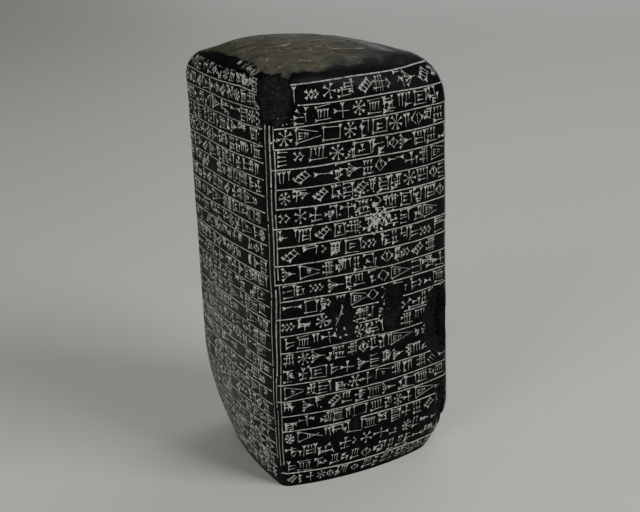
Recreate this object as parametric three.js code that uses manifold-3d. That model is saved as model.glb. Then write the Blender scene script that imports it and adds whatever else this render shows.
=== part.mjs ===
// A squat, four-sided inscribed stone: bowed sides, rounded edges, a domed top and a tapered foot.
// Ruled lines part the rows of writing on every side. The stone has pits, worn corners and a broken
// edge, and the top carries shallow signs. Millimetres, +Z up. The stone rests on z = 0, its wide
// side faces -Y and its narrow side faces -X.

import * as THREE from "three";
import { mergeVertices } from "three/addons/utils/BufferGeometryUtils.js";
import Module from "manifold-3d";

const wasm = await Module();
wasm.setup();

// Overall size. The rim is where the rounded shoulder ends and the domed top begins, and the dome
// rises above it. Width and depth are measured between the upright edges, before the sides bow out.
const RIM_HEIGHT = 212;
const WIDTH = 103;
const DEPTH = 95.5;

// The dome's rise at its middle, how much more of it there is towards the left than the right, and
// how flat its middle is
const CROWN_RISE = 6;
const CROWN_LEAN = 0.53;
const CROWN_FLATNESS = 4;

// How far each side bows out at its middle
const FRONT_BOW = 5.5;
const RIGHT_BOW = 4.4;
const BACK_BOW = 5.2;
const LEFT_BOW = 2.2;

// Rounding of each upright edge in plan, and of the shoulder above it
const FRONT_LEFT_RADIUS = 5;
const FRONT_RIGHT_RADIUS = 9;
const BACK_RIGHT_RADIUS = 22;
const BACK_LEFT_RADIUS = 5;
const FRONT_LEFT_SHOULDER = 5;
const FRONT_RIGHT_SHOULDER = 24;
const BACK_RIGHT_SHOULDER = 32;
const BACK_LEFT_SHOULDER = 13;

// How far the foot draws in under each edge, and the height where that begins
const FRONT_LEFT_FOOT = { inX: 2.5, inY: 2.5, height: 50 };
const FRONT_RIGHT_FOOT = { inX: 13, inY: 2, height: 27 };
const BACK_RIGHT_FOOT = { inX: 12, inY: 12, height: 60 };
const BACK_LEFT_FOOT = { inX: 6, inY: 22, height: 55 };

// Ruled lines: their number, how far the first lies below the rim and the last above the ground, and
// how much the rows tighten downwards
const WIDE_RULES = { count: 23, belowRim: 5, aboveGround: 7.5, tightening: 0.11 };
const NARROW_RULES = { count: 26, belowRim: 8, aboveGround: 9.5, tightening: 0.08 };
const RULE_WIDTH = 0.8;
const RULE_DEPTH = 0.45;

// Upright margin lines, cut this far in from where a side meets its rounded edge
const MARGIN_WIDTH = 0.9;
const MARGIN_INSET = 1.2;

// Pits, worn corners and the broken edge. A break is in one side, at shares of the half width from
// the side's middle and of the rim's height. It has a size across and up, and a depth. Some are
// turned about the way into the stone or swung round the upright, in radians.
const PIT_LEFT = { side: 0, along: -0.33, level: 0.413, across: 13, up: 26, depth: 5, turn: 0.2 };
const PIT_RIGHT = { side: 0, along: 0.28, level: 0.42, across: 11, up: 25, depth: 4, turn: -0.1 };
const ABRASION = { side: 0, along: -0.04, level: 0.382, across: 20, up: 24, depth: 1.3, turn: 0.5 };
const EDGE_BREAK = { side: 0, along: 0.86, level: 0.344, across: 22, up: 38, depth: 4, swing: 0.5 };
const FOOT_WEAR = { side: 0, along: 0.94, level: 0.1, across: 15, up: 30, depth: 1.8, turn: 0.1, swing: 0.5 };
const LOW_PIT = { side: 0, along: -0.21, level: 0.142, across: 5, up: 9, depth: 1.6 };
const HIGH_PIT = { side: 0, along: 0.04, level: 0.241, across: 5, up: 8, depth: 1.5, turn: 0.4 };
const CORNER_WEAR = {
  side: 0,
  along: -0.86,
  level: 0.962,
  across: 28,
  up: 34,
  depth: 1.6,
  turn: 0.5,
  swing: -0.3,
};
const RIM_CHIP = { side: 3, along: 0.61, level: 0.986, across: 19, up: 10, depth: 1.4 };
const BREAKS = [
  PIT_LEFT,
  PIT_RIGHT,
  ABRASION,
  EDGE_BREAK,
  FOOT_WEAR,
  LOW_PIT,
  HIGH_PIT,
  CORNER_WEAR,
  RIM_CHIP,
];
const BREAK_FULLNESS = 1.6;

// The lumps that the breaks are cut with: facets round and up, and an unevenness that is different
// in each
const LUMP_FACETS = [10, 7];
const LUMP_ROUGHNESS = 0.1;
const LUMP_WAVES = { across: 5, inward: 4, up: 3 };
const LUMP_SHIFT = 9;

// Signs on the top: a ring, a crescent, an open frame and bars, all worn and shallow. Their places
// are shares of the half width and half depth from the middle.
const SIGN_DEPTH = 0.7;
const SIGN_LINE = 1.4;
const RING = { across: -0.52, back: 0.32, radius: 8 };
const CRESCENT = { across: -0.5, back: -0.2, radius: 8, bite: 4 };
const FRAME = { across: 0.06, back: -0.4, width: 20, height: 24 };
const BAR = { across: -0.02, back: 0.3, length: 24, spacing: 6, count: 3 };

// Steps in the faceted surface
const SIDE_STEPS = 6;
const CORNER_STEPS = 4;
const FOOT_STEPS = 6;
const FOOT_CROWDING = 1.4;
const WALL_STEPS = 2;
const SHOULDER_STEPS = 5;
const CROWN_STEPS = 6;
const SIGN_CURVE_STEPS = 10;

// The four upright edges and the four sides, anticlockwise from the front left edge
const EDGES = [
  { x: -1, y: -1, radius: FRONT_LEFT_RADIUS, shoulder: FRONT_LEFT_SHOULDER, foot: FRONT_LEFT_FOOT },
  { x: 1, y: -1, radius: FRONT_RIGHT_RADIUS, shoulder: FRONT_RIGHT_SHOULDER, foot: FRONT_RIGHT_FOOT },
  { x: 1, y: 1, radius: BACK_RIGHT_RADIUS, shoulder: BACK_RIGHT_SHOULDER, foot: BACK_RIGHT_FOOT },
  { x: -1, y: 1, radius: BACK_LEFT_RADIUS, shoulder: BACK_LEFT_SHOULDER, foot: BACK_LEFT_FOOT },
];
const BOWS = [FRONT_BOW, RIGHT_BOW, BACK_BOW, LEFT_BOW];
const FOOT_TOP = Math.max(...EDGES.map((edge) => edge.foot.height));

// Centre of an edge's rounding in plan at height z, drawn in towards the middle at the foot.
function edgeCentre(edge, z) {
  const low = Math.max(0, 1 - z / edge.foot.height) ** 2;
  return new THREE.Vector2(
    edge.x * (WIDTH / 2 - edge.radius - edge.foot.inX * low),
    edge.y * (DEPTH / 2 - edge.radius - edge.foot.inY * low),
  );
}

// One side in plan at height z: where it starts and ends, its outward direction, and how far its
// ends lean, so that the bow runs smoothly into the rounded edges.
function sideLine(index, z) {
  const from = EDGES[index];
  const to = EDGES[(index + 1) % 4];
  const start = edgeCentre(from, z);
  const end = edgeCentre(to, z);
  const chord = end.clone().sub(start);
  const outward = new THREE.Vector2(chord.y, -chord.x).normalize();
  const lean = Math.atan((4 * BOWS[index]) / chord.length());
  const startNormal = outward.clone().rotateAround(new THREE.Vector2(), -lean);
  const endNormal = outward.clone().rotateAround(new THREE.Vector2(), lean);
  start.addScaledVector(startNormal, from.radius);
  end.addScaledVector(endNormal, to.radius);
  return { start, end, outward, startNormal, endNormal, bow: BOWS[index] };
}

// A place on one side of the wall: its point in plan at height z, the way out of the stone there, and
// the size of the shoulder above it.
function sidePlace(index, t) {
  const from = EDGES[index];
  const to = EDGES[(index + 1) % 4];
  const look = (z) => {
    const line = sideLine(index, z);
    const length = line.start.distanceTo(line.end);
    const lean = Math.atan((4 * line.bow * (2 * t - 1)) / length);
    return {
      at: line.start.clone().lerp(line.end, t).addScaledVector(line.outward, line.bow * 4 * t * (1 - t)),
      out: line.outward.clone().rotateAround(new THREE.Vector2(), lean),
    };
  };
  return { look, shoulder: THREE.MathUtils.lerp(from.shoulder, to.shoulder, t) };
}

// A place on the rounded edge after a side, at a share of the way round it.
function edgePlace(index, share) {
  const next = (index + 1) % 4;
  const edge = EDGES[next];
  const look = (z) => {
    const begin = sideLine(index, z).endNormal.angle();
    const sweep = (sideLine(next, z).startNormal.angle() - begin + 2 * Math.PI) % (2 * Math.PI);
    const angle = begin + sweep * share;
    const out = new THREE.Vector2(Math.cos(angle), Math.sin(angle));
    return { at: edgeCentre(edge, z).addScaledVector(out, edge.radius), out };
  };
  return { look, shoulder: edge.shoulder };
}

// How the dome differs over the top: 0 where a line from the middle to the rim meets the middle of a
// side, and 1 where it meets a corner.
function cornerRatio({ x, y }) {
  const across = Math.abs(x) / WIDTH;
  const back = Math.abs(y) / DEPTH;
  return Math.min(across, back) / Math.max(across, back);
}

// The dome's rise at a distance across from the middle, for a place that is level with it.
function leaningRise(x) {
  return CROWN_RISE * (1 - (CROWN_LEAN * x) / (WIDTH / 2));
}

// The angle from the upright wall over to the dome's slope at the rim, above a place.
function shoulderSweep(place, rim) {
  const { at } = place.look(rim);
  const bulge = CROWN_FLATNESS * (1 - cornerRatio(at) ** CROWN_FLATNESS);
  return Math.PI / 2 - Math.atan((leaningRise(at.x) * bulge) / at.length());
}

// The wall's point at a place and height, rounded in over the shoulder and sunk by a depth.
function wallPoint(place, z, rim, sunk = 0) {
  const { at, out } = place.look(z);
  const reach = place.shoulder * Math.sin(shoulderSweep(place, rim));
  const up = THREE.MathUtils.clamp((z - rim + reach) / place.shoulder, 0, 1);
  const inset = place.shoulder * (1 - Math.sqrt(1 - up ** 2));
  const point = at.setLength(at.length() - inset).addScaledVector(out, -sunk);
  return new THREE.Vector3(point.x, point.y, z);
}

// Heights of one side's ruled lines.
function ruleHeights({ count, belowRim, aboveGround, tightening }, rim) {
  const top = rim - belowRim;
  return Array.from({ length: count }, (_, index) => {
    const share = index / (count - 1);
    return top - (top - aboveGround) * (share * (1 + tightening) - tightening * share ** 2);
  });
}

// One upright line of points up the wall, from the ground to the rim. A ruled line gives it three
// points, and a margin line sinks it all the way.
function wallColumn({ place, rules, sunk }, rim) {
  const lines = rules ? ruleHeights(rules, rim) : [];
  const wall = [];
  for (let step = 0; step <= FOOT_STEPS; step += 1) {
    wall.push(FOOT_TOP * (step / FOOT_STEPS) ** FOOT_CROWDING);
  }
  const sweep = shoulderSweep(place, rim);
  const shoulderStart = rim - place.shoulder * Math.sin(sweep);
  for (let step = 1; step <= WALL_STEPS; step += 1) {
    wall.push(THREE.MathUtils.lerp(FOOT_TOP, shoulderStart, step / WALL_STEPS));
  }
  for (let step = 1; step <= SHOULDER_STEPS; step += 1) {
    wall.push(shoulderStart + place.shoulder * Math.sin((sweep * step) / SHOULDER_STEPS));
  }
  const clear = wall.filter((z) => lines.every((line) => Math.abs(z - line) > RULE_WIDTH));
  const deep = (z) => (z > 0 && z < shoulderStart ? sunk : 0);
  const points = clear.map((z) => wallPoint(place, z, rim, deep(z)));
  lines.forEach((z) => {
    points.push(wallPoint(place, z - RULE_WIDTH / 2, rim, deep(z)));
    points.push(wallPoint(place, z, rim, deep(z) + RULE_DEPTH));
    points.push(wallPoint(place, z + RULE_WIDTH / 2, rim, deep(z)));
  });
  return points.sort((a, b) => a.z - b.z);
}

// The columns round the stone, anticlockwise from the start of the front side. Margin lines run
// beside the front left edge and before the front right one.
function columnPlan() {
  const plan = [];
  [0, 1, 2, 3].forEach((side) => {
    const rules = side % 2 === 0 ? WIDE_RULES : NARROW_RULES;
    const length = side % 2 === 0 ? WIDTH : DEPTH;
    const inset = MARGIN_INSET / length;
    const margins = [];
    if (side === 0) margins.push(inset);
    if (side === 0 || side === 3) margins.push(1 - inset);
    const stops = [];
    for (let step = 0; step <= SIDE_STEPS; step += 1) {
      stops.push({ t: step / SIDE_STEPS, sunk: 0 });
    }
    margins.forEach((t) => {
      stops.push({ t: t - MARGIN_WIDTH / 2 / length, sunk: 0 });
      stops.push({ t, sunk: RULE_DEPTH });
      stops.push({ t: t + MARGIN_WIDTH / 2 / length, sunk: 0 });
    });
    stops.sort((a, b) => a.t - b.t);
    stops.forEach(({ t, sunk }) => plan.push({ place: sidePlace(side, t), rules, sunk }));
    for (let step = 1; step < CORNER_STEPS; step += 1) {
      plan.push({ place: edgePlace(side, step / CORNER_STEPS), rules: null, sunk: 0 });
    }
  });
  return plan;
}

// A closed solid from a list of triangle corners.
function solidFromPositions(positions) {
  const geometry = new THREE.BufferGeometry();
  geometry.setAttribute("position", new THREE.Float32BufferAttribute(positions, 3));
  return solidFromGeometry(geometry);
}

function solidFromGeometry(geometry) {
  const bare = geometry.clone();
  bare.deleteAttribute("normal");
  bare.deleteAttribute("uv");
  const merged = mergeVertices(bare, 1e-4);
  return new wasm.Manifold(
    new wasm.Mesh({
      numProp: 3,
      vertProperties: new Float32Array(merged.attributes.position.array),
      triVerts: new Uint32Array(merged.index.array),
    }),
  );
}

// Triangles between two neighbouring columns, taking the lower next point each time.
function zipColumns(left, right, triangle) {
  let i = 0;
  let j = 0;
  while (i + 1 < left.length || j + 1 < right.length) {
    const climbLeft = j + 1 >= right.length || (i + 1 < left.length && left[i + 1].z <= right[j + 1].z);
    if (climbLeft) {
      triangle(left[i], right[j], left[i + 1]);
      i += 1;
    } else {
      triangle(left[i], right[j], right[j + 1]);
      j += 1;
    }
  }
}

// A point of the domed top on the way from a rim point to the middle. The dome is lower towards the
// corners, so that no ridge runs across it.
function domePoint(edge, step, rim) {
  const share = 1 - step / CROWN_STEPS;
  const fullness = (1 - share ** CROWN_FLATNESS) * (1 - (cornerRatio(edge) * share) ** CROWN_FLATNESS);
  return new THREE.Vector3(
    edge.x * share,
    edge.y * share,
    rim + leaningRise(edge.x * share) * fullness,
  );
}

// The whole block before anything is broken off it, with its rim at the given height.
function block(rim) {
  const columns = columnPlan().map((column) => wallColumn(column, rim));
  const positions = [];
  const triangle = (...corners) => corners.forEach((corner) => positions.push(corner.x, corner.y, corner.z));
  const underside = new THREE.Vector3();
  const crown = new THREE.Vector3(0, 0, rim + CROWN_RISE);
  columns.forEach((column, index) => {
    const next = columns[(index + 1) % columns.length];
    triangle(underside, next[0], column[0]);
    zipColumns(column, next, triangle);
    for (let step = 0; step < CROWN_STEPS; step += 1) {
      const low = [column.at(-1), next.at(-1)].map((edge) => domePoint(edge, step, rim));
      const high = [column.at(-1), next.at(-1)].map((edge) => domePoint(edge, step + 1, rim));
      if (step + 1 === CROWN_STEPS) {
        triangle(low[0], low[1], crown);
      } else {
        triangle(low[0], low[1], high[1]);
        triangle(low[0], high[1], high[0]);
      }
    }
  });
  return solidFromPositions(positions);
}

// A rough lump that takes a pit or a break out of one side.
function breakCutter({ side, along, level, across, up, depth, turn = 0, swing = 0 }) {
  const height = RIM_HEIGHT * level;
  const place = sidePlace(side, (1 + along) / 2);
  const point = wallPoint(place, height, RIM_HEIGHT);
  const facing = place.look(height).out.rotateAround(new THREE.Vector2(), swing);
  const half = depth * BREAK_FULLNESS;
  const footprint = Math.sqrt(1 - ((half - depth) / half) ** 2);
  const lump = new THREE.SphereGeometry(1, ...LUMP_FACETS);
  const position = lump.attributes.position;
  for (let i = 0; i < position.count; i += 1) {
    const corner = new THREE.Vector3().fromBufferAttribute(position, i);
    const slant = LUMP_WAVES.across * corner.x + LUMP_WAVES.up * corner.z + LUMP_SHIFT * along;
    const wave = Math.sin(slant) * Math.cos(LUMP_WAVES.inward * corner.y + LUMP_SHIFT * level);
    corner.multiplyScalar(1 + LUMP_ROUGHNESS * wave);
    position.setXYZ(i, corner.x, corner.y, corner.z);
  }
  lump.scale(across / 2 / footprint, half, up / 2 / footprint);
  lump.rotateY(turn);
  lump.rotateZ(facing.angle() + Math.PI / 2);
  lump.translate(point.x + facing.x * (half - depth), point.y + facing.y * (half - depth), height);
  return solidFromGeometry(lump);
}

// A sign's place on the top in plan.
function signPlace({ across, back }) {
  return new THREE.Vector2((across * WIDTH) / 2, (back * DEPTH) / 2);
}

// A rectangle about a middle point.
function rectangle(middle, width, height) {
  return new THREE.Shape([
    new THREE.Vector2(middle.x - width / 2, middle.y - height / 2),
    new THREE.Vector2(middle.x + width / 2, middle.y - height / 2),
    new THREE.Vector2(middle.x + width / 2, middle.y + height / 2),
    new THREE.Vector2(middle.x - width / 2, middle.y + height / 2),
  ]);
}

// Flat shapes of the signs on the top.
function signShapes() {
  const hub = signPlace(RING);
  const ring = new THREE.Shape().absarc(hub.x, hub.y, RING.radius, 0, 2 * Math.PI, false);
  ring.holes.push(new THREE.Path().absarc(hub.x, hub.y, RING.radius - SIGN_LINE, 0, 2 * Math.PI, true));

  const moon = signPlace(CRESCENT);
  const innerRadius = Math.hypot(CRESCENT.radius, CRESCENT.bite);
  const halfSweep = Math.atan2(CRESCENT.radius, CRESCENT.bite);
  const below = -Math.PI / 2;
  const crescent = new THREE.Shape();
  crescent.absarc(moon.x, moon.y, CRESCENT.radius, Math.PI, 2 * Math.PI, false);
  crescent.absarc(moon.x, moon.y + CRESCENT.bite, innerRadius, below + halfSweep, below - halfSweep, true);

  const inside = signPlace(FRAME);
  const frame = rectangle(inside, FRAME.width, FRAME.height);
  frame.holes.push(rectangle(inside, FRAME.width - 2 * SIGN_LINE, FRAME.height - 2 * SIGN_LINE));

  const bars = Array.from({ length: BAR.count }, (_, index) => {
    const middle = signPlace(BAR).add(new THREE.Vector2(0, index * BAR.spacing));
    return rectangle(middle, BAR.length, SIGN_LINE);
  });
  return [ring, crescent, frame, ...bars];
}

// The signs as cutters that reach from above the top down to SIGN_DEPTH below it.
function signCutters() {
  const below = block(RIM_HEIGHT - SIGN_DEPTH);
  const settings = { depth: 3 * CROWN_RISE, bevelEnabled: false, curveSegments: SIGN_CURVE_STEPS };
  return signShapes().map((shape) => {
    const tall = new THREE.ExtrudeGeometry(shape, settings);
    tall.translate(0, 0, RIM_HEIGHT - CROWN_RISE);
    return solidFromGeometry(tall).subtract(below);
  });
}

function steleSolid() {
  const cutters = [...BREAKS.map(breakCutter), ...signCutters()];
  return cutters.reduce((solid, cutter) => solid.subtract(cutter), block(RIM_HEIGHT));
}

// A geometry from a solid, moved so that its underside's middle is the origin.
function centredGeometry(solid) {
  const mesh = solid.getMesh();
  const geometry = new THREE.BufferGeometry();
  geometry.setAttribute("position", new THREE.BufferAttribute(new Float32Array(mesh.vertProperties), 3));
  geometry.setIndex(new THREE.BufferAttribute(new Uint32Array(mesh.triVerts), 1));
  geometry.computeBoundingBox();
  const middle = geometry.boundingBox.getCenter(new THREE.Vector3());
  geometry.translate(-middle.x, -middle.y, 0);
  geometry.computeVertexNormals();
  return geometry;
}

const STONE = new THREE.MeshStandardMaterial({ color: 0x17181a, roughness: 0.42, metalness: 0 });

const stele = new THREE.Mesh(centredGeometry(steleSolid()), STONE);
stele.name = "stele";

const model = new THREE.Group();
model.add(stele);

export default model;
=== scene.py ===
import random
from math import atan2, cos, hypot, pi, radians, sin, sqrt

import bmesh
import bpy
import numpy as np
from mathutils import Matrix, Vector, noise
from mathutils.geometry import delaunay_2d_cdt


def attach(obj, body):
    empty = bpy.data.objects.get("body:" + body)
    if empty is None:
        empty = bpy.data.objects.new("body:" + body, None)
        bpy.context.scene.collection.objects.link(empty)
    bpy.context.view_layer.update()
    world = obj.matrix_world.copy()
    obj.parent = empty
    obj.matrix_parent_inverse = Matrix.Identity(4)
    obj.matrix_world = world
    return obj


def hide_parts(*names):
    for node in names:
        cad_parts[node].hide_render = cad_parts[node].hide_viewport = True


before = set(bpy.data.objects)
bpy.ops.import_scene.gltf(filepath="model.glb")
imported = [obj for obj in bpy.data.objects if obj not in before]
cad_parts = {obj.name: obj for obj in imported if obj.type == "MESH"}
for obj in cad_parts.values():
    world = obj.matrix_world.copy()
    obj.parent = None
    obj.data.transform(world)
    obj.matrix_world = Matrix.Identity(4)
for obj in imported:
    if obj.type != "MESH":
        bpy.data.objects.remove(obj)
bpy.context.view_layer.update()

# The stone is worked out in millimetres and goes into Blender in metres. The wide side faces -Y and
# the narrow side faces -X.
MM = 0.001
RIM = 212.0
WIDTH = 103.0
DEPTH = 95.5
CROWN_RISE = 6.0
CROWN_LEAN = 0.53
CROWN_FLATNESS = 4

# The four upright edges and the four sides, anticlockwise from the front left edge
EDGE_SIGNS = np.array([(-1, -1), (1, -1), (1, 1), (-1, 1)], float)
EDGE_RADII = [5.0, 9.0, 22.0, 5.0]
SHOULDERS = [5.0, 24.0, 32.0, 13.0]
FOOT_INSETS = np.array([(2.5, 2.5), (13.0, 2.0), (12.0, 12.0), (6.0, 22.0)])
FOOT_HEIGHTS = [50.0, 27.0, 60.0, 55.0]
BOWS = [5.5, 4.4, 5.2, 2.2]
FRONT, RIGHT, BACK, LEFT = range(4)

# Ruled lines, as in the solid: number, distance of the first below the rim and of the last above
# the ground, and how much the rows tighten downwards
WIDE_RULES = (23, 5.0, 7.5, 0.11)
NARROW_RULES = (26, 8.0, 9.5, 0.08)
RULE_WIDTH = 0.6
RULE_DEPTH = 0.4
MARGIN_INSET = 1.2

# Breaks: side, place along it as a share of the half width, level as a share of the rim's height, size
# across and up, depth, turn and swing. They are as in the solid, but the worn right end of the foot,
# the fifth, is shallower.
BREAKS = [
    (FRONT, -0.33, 0.413, 13, 26, 5.0, 0.2, 0.0),
    (FRONT, 0.28, 0.42, 11, 25, 4.0, -0.1, 0.0),
    (FRONT, -0.04, 0.382, 20, 24, 1.3, 0.5, 0.0),
    (FRONT, 0.86, 0.344, 22, 38, 4.0, 0.0, 0.5),
    (FRONT, 0.94, 0.1, 15, 30, 0.9, 0.1, 0.5),
    (FRONT, -0.21, 0.142, 5, 9, 1.6, 0.0, 0.0),
    (FRONT, 0.04, 0.241, 5, 8, 1.5, 0.4, 0.0),
    (FRONT, -0.86, 0.962, 28, 34, 1.6, 0.5, -0.3),
    (LEFT, 0.61, 0.986, 19, 10, 1.4, 0.0, 0.0),
]
BREAK_FULLNESS = 1.6
# The rubbed patch between the pits and the chip along the rim keep their strokes and their colour.
ABRASION, RIM_CHIP = 2, 8

# Spacing of the surface's points
GRID = 3.2
BREAK_GRID = 1.1
SEAM_STEP = 2.0

# Seeds for whatever is drawn at random
SIGN_SEED = 40
GRID_SEED = 80
MARK_SEED = 11
TOP_GRID_SEED = 7

# Camera, as worked out from the ruled lines and the outline in the photograph
FOCAL_PX = 1250.0
AZIMUTH = -27.25
ELEVATION = 19.13
ROLL = -2.2
DISTANCE = 695.7
BASE_PX = (327.45, 429.86)
FRAME_PX = (640, 512)
SENSOR = 36.0


def turn(vectors, angle):
    """Plan vectors turned anticlockwise by an angle, one for each."""
    c, s = np.cos(angle), np.sin(angle)
    return np.stack([vectors[:, 0] * c - vectors[:, 1] * s, vectors[:, 0] * s + vectors[:, 1] * c], 1)


def edge_centre(edge, z):
    """Centre in plan of a rounded upright edge at heights z. Towards the foot it draws in."""
    low = np.maximum(0.0, 1 - z / FOOT_HEIGHTS[edge])[:, None] ** 2
    half = np.array([WIDTH / 2, DEPTH / 2]) - EDGE_RADII[edge]
    return EDGE_SIGNS[edge] * (half - FOOT_INSETS[edge] * low)


def side_line(side, z):
    """A side in plan at heights z: its start and end, the way out, and how its ends lean."""
    after = (side + 1) % 4
    start, end = edge_centre(side, z), edge_centre(after, z)
    chord = end - start
    length = np.linalg.norm(chord, axis=1)
    outward = np.stack([chord[:, 1], -chord[:, 0]], 1) / length[:, None]
    lean = np.arctan(4 * BOWS[side] / length)
    start = start + turn(outward, -lean) * EDGE_RADII[side]
    end = end + turn(outward, lean) * EDGE_RADII[after]
    return start, end, outward, lean


def side_place(side, t, z):
    """Place and way out on a side's bowed line, at a share t of the way along it."""
    start, end, outward, _ = side_line(side, z)
    length = np.linalg.norm(end - start, axis=1)
    bow = BOWS[side]
    at = start + (end - start) * t[:, None] + outward * (bow * 4 * t * (1 - t))[:, None]
    return at, turn(outward, np.arctan(4 * bow * (2 * t - 1) / length))


def edge_place(side, share, z):
    """Place and way out on the rounded edge that follows a side."""
    after = (side + 1) % 4
    _, _, outward, lean = side_line(side, z)
    begin = np.arctan2(*turn(outward, lean).T[::-1])
    _, _, outward, lean = side_line(after, z)
    stop = np.arctan2(*turn(outward, -lean).T[::-1])
    angle = begin + ((stop - begin) % (2 * np.pi)) * share
    out = np.stack([np.cos(angle), np.sin(angle)], 1)
    return edge_centre(after, z) + out * EDGE_RADII[after], out


def run_lengths():
    """Lengths round the stone above the foot of each side and each rounded edge, in turn."""
    z = np.full(65, RIM)
    share = np.linspace(0, 1, 65)
    lengths = []
    for side in range(4):
        for place in (side_place, edge_place):
            at, _ = place(side, share, z)
            lengths.append(np.linalg.norm(np.diff(at, axis=0), axis=1).sum())
    return lengths


RUNS = run_lengths()
RUN_STARTS = np.concatenate([[0.0], np.cumsum(RUNS)])
ROUND = RUN_STARTS[-1]


def plan_place(s, z):
    """The wall in plan at lengths s round the stone and heights z: point, way out, shoulder."""
    s = np.mod(s, ROUND)
    run = np.clip(np.searchsorted(RUN_STARTS, s, side="right") - 1, 0, 7)
    at, out, shoulder = np.zeros((len(s), 2)), np.zeros((len(s), 2)), np.zeros(len(s))
    for side in range(4):
        after = (side + 1) % 4
        for kind, place in enumerate((side_place, edge_place)):
            here = run == 2 * side + kind
            if here.any():
                share = (s[here] - RUN_STARTS[2 * side + kind]) / RUNS[2 * side + kind]
                at[here], out[here] = place(side, share, z[here])
                if kind == 0:
                    shoulder[here] = SHOULDERS[side] + (SHOULDERS[after] - SHOULDERS[side]) * share
                else:
                    shoulder[here] = SHOULDERS[after]
    return at, out, shoulder


def corner_ratio(at):
    """How near plan points lie to a diagonal: 0 by the middle of a side, 1 by an upright edge."""
    across, back = np.abs(at[:, 0]) / WIDTH, np.abs(at[:, 1]) / DEPTH
    return np.minimum(across, back) / np.maximum(np.maximum(across, back), 1e-9)


def leaning_rise(x):
    """Rise of the dome above the rim, which is more towards the left."""
    return CROWN_RISE * (1 - CROWN_LEAN * x / (WIDTH / 2))


def shoulder_table():
    """Shoulder size, and the angle it sweeps before it meets the dome, round the stone."""
    s = np.linspace(0, ROUND, 1601)
    at, _, shoulder = plan_place(s, np.full(len(s), RIM))
    bulge = CROWN_FLATNESS * (1 - corner_ratio(at) ** CROWN_FLATNESS)
    sweep = np.pi / 2 - np.arctan(leaning_rise(at[:, 0]) * bulge / np.linalg.norm(at, axis=1))
    return s, shoulder, sweep


SHOULDER_TABLE = shoulder_table()


def shoulder_at(s):
    places, shoulder, sweep = SHOULDER_TABLE
    s = np.mod(s, ROUND)
    return np.interp(s, places, shoulder), np.interp(s, places, sweep)


def wall(s, v):
    """Points and outward directions of the wall. v is the height up to the shoulder, and from there
    it runs on evenly over the shoulder to the rim."""
    shoulder, sweep = shoulder_at(s)
    reach = shoulder * np.sin(sweep)
    over = np.clip((v - RIM + reach) / reach, 0, 1) * sweep
    z = np.where(over > 0, RIM - reach + shoulder * np.sin(over), v)
    at, out, _ = plan_place(s, z)
    away = np.linalg.norm(at, axis=1)
    at = at * ((away - shoulder * (1 - np.cos(over))) / away)[:, None]
    normal = np.column_stack([out * np.cos(over)[:, None], np.sin(over)])
    return np.column_stack([at, z]), normal


def level(s, z):
    """The v of height z at lengths s."""
    shoulder, sweep = shoulder_at(s)
    reach = shoulder * np.sin(sweep)
    up = np.clip((z - RIM + reach) / shoulder, 0, np.sin(sweep))
    return np.where(up > 0, RIM - reach + reach * np.arcsin(up) / sweep, z)


def fine_noise(points, scale, octaves, seed):
    """Fractal noise with features about scale millimetres across."""
    shift = Vector((seed * 17.3, seed * 5.1, seed * 11.7))
    return np.array([noise.fractal(Vector(p) / scale + shift, 0.9, 2.1, octaves) for p in points])


def break_frames():
    """Each break's middle, its three directions and half sizes."""
    made = []
    for side, along, height, across, up, depth, spin, swing in BREAKS:
        z = np.array([height * RIM])
        at, out = side_place(side, np.array([(1 + along) / 2]), z)
        s = np.array([RUN_STARTS[2 * side] + RUNS[2 * side] * (1 + along) / 2])
        point, _ = wall(s, level(s, z))
        facing = np.append(turn(out, np.array([swing]))[0], 0.0)
        half = depth * BREAK_FULLNESS
        footprint = sqrt(1 - ((half - depth) / half) ** 2)
        sideways = np.cross((0, 0, 1), facing)
        upward = np.array([0, 0, 1.0])
        c, sn = cos(spin), sin(spin)
        axes = np.array([sideways * c + upward * sn, facing, upward * c - sideways * sn])
        halves = np.array([across / 2 / footprint, half, up / 2 / footprint])
        made.append((point[0] + facing * (half - depth), axes, halves, depth))
    return made


BREAK_FRAMES = break_frames()


def break_depth(points, normals, breaks=BREAK_FRAMES):
    """How far each surface point is sunk by pits and breaks, going straight in."""
    sunk = np.zeros(len(points))
    for middle, axes, halves, depth in breaks:
        near = np.linalg.norm(points - middle, axis=1) < halves.max() * 1.5
        if not near.any():
            continue
        p = (points[near] - middle) @ axes.T / halves
        d = -(normals[near] @ axes.T) / halves
        waves = fine_noise(points[near], 6.0, 3, 3)
        crumbs = fine_noise(points[near], 1.6, 2, 4)
        rough = 1 + 0.09 * waves + 0.04 * crumbs
        a = (d * d).sum(1)
        b = (p * d).sum(1)
        c = (p * p).sum(1) - rough**2
        inside = c < 0
        way = np.where(inside, (-b + np.sqrt(np.maximum(b * b - a * c, 0))) / a, 0)
        sunk[near] = np.maximum(sunk[near], np.minimum(way, depth * 1.4))
    return sunk


def rule_heights(rules):
    """Heights of a side's ruled lines, from the top one down."""
    count, below_rim, above_ground, tightening = rules
    share = np.linspace(0, 1, count)
    top = RIM - below_rim
    return top - (top - above_ground) * (share * (1 + tightening) - tightening * share**2)


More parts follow.
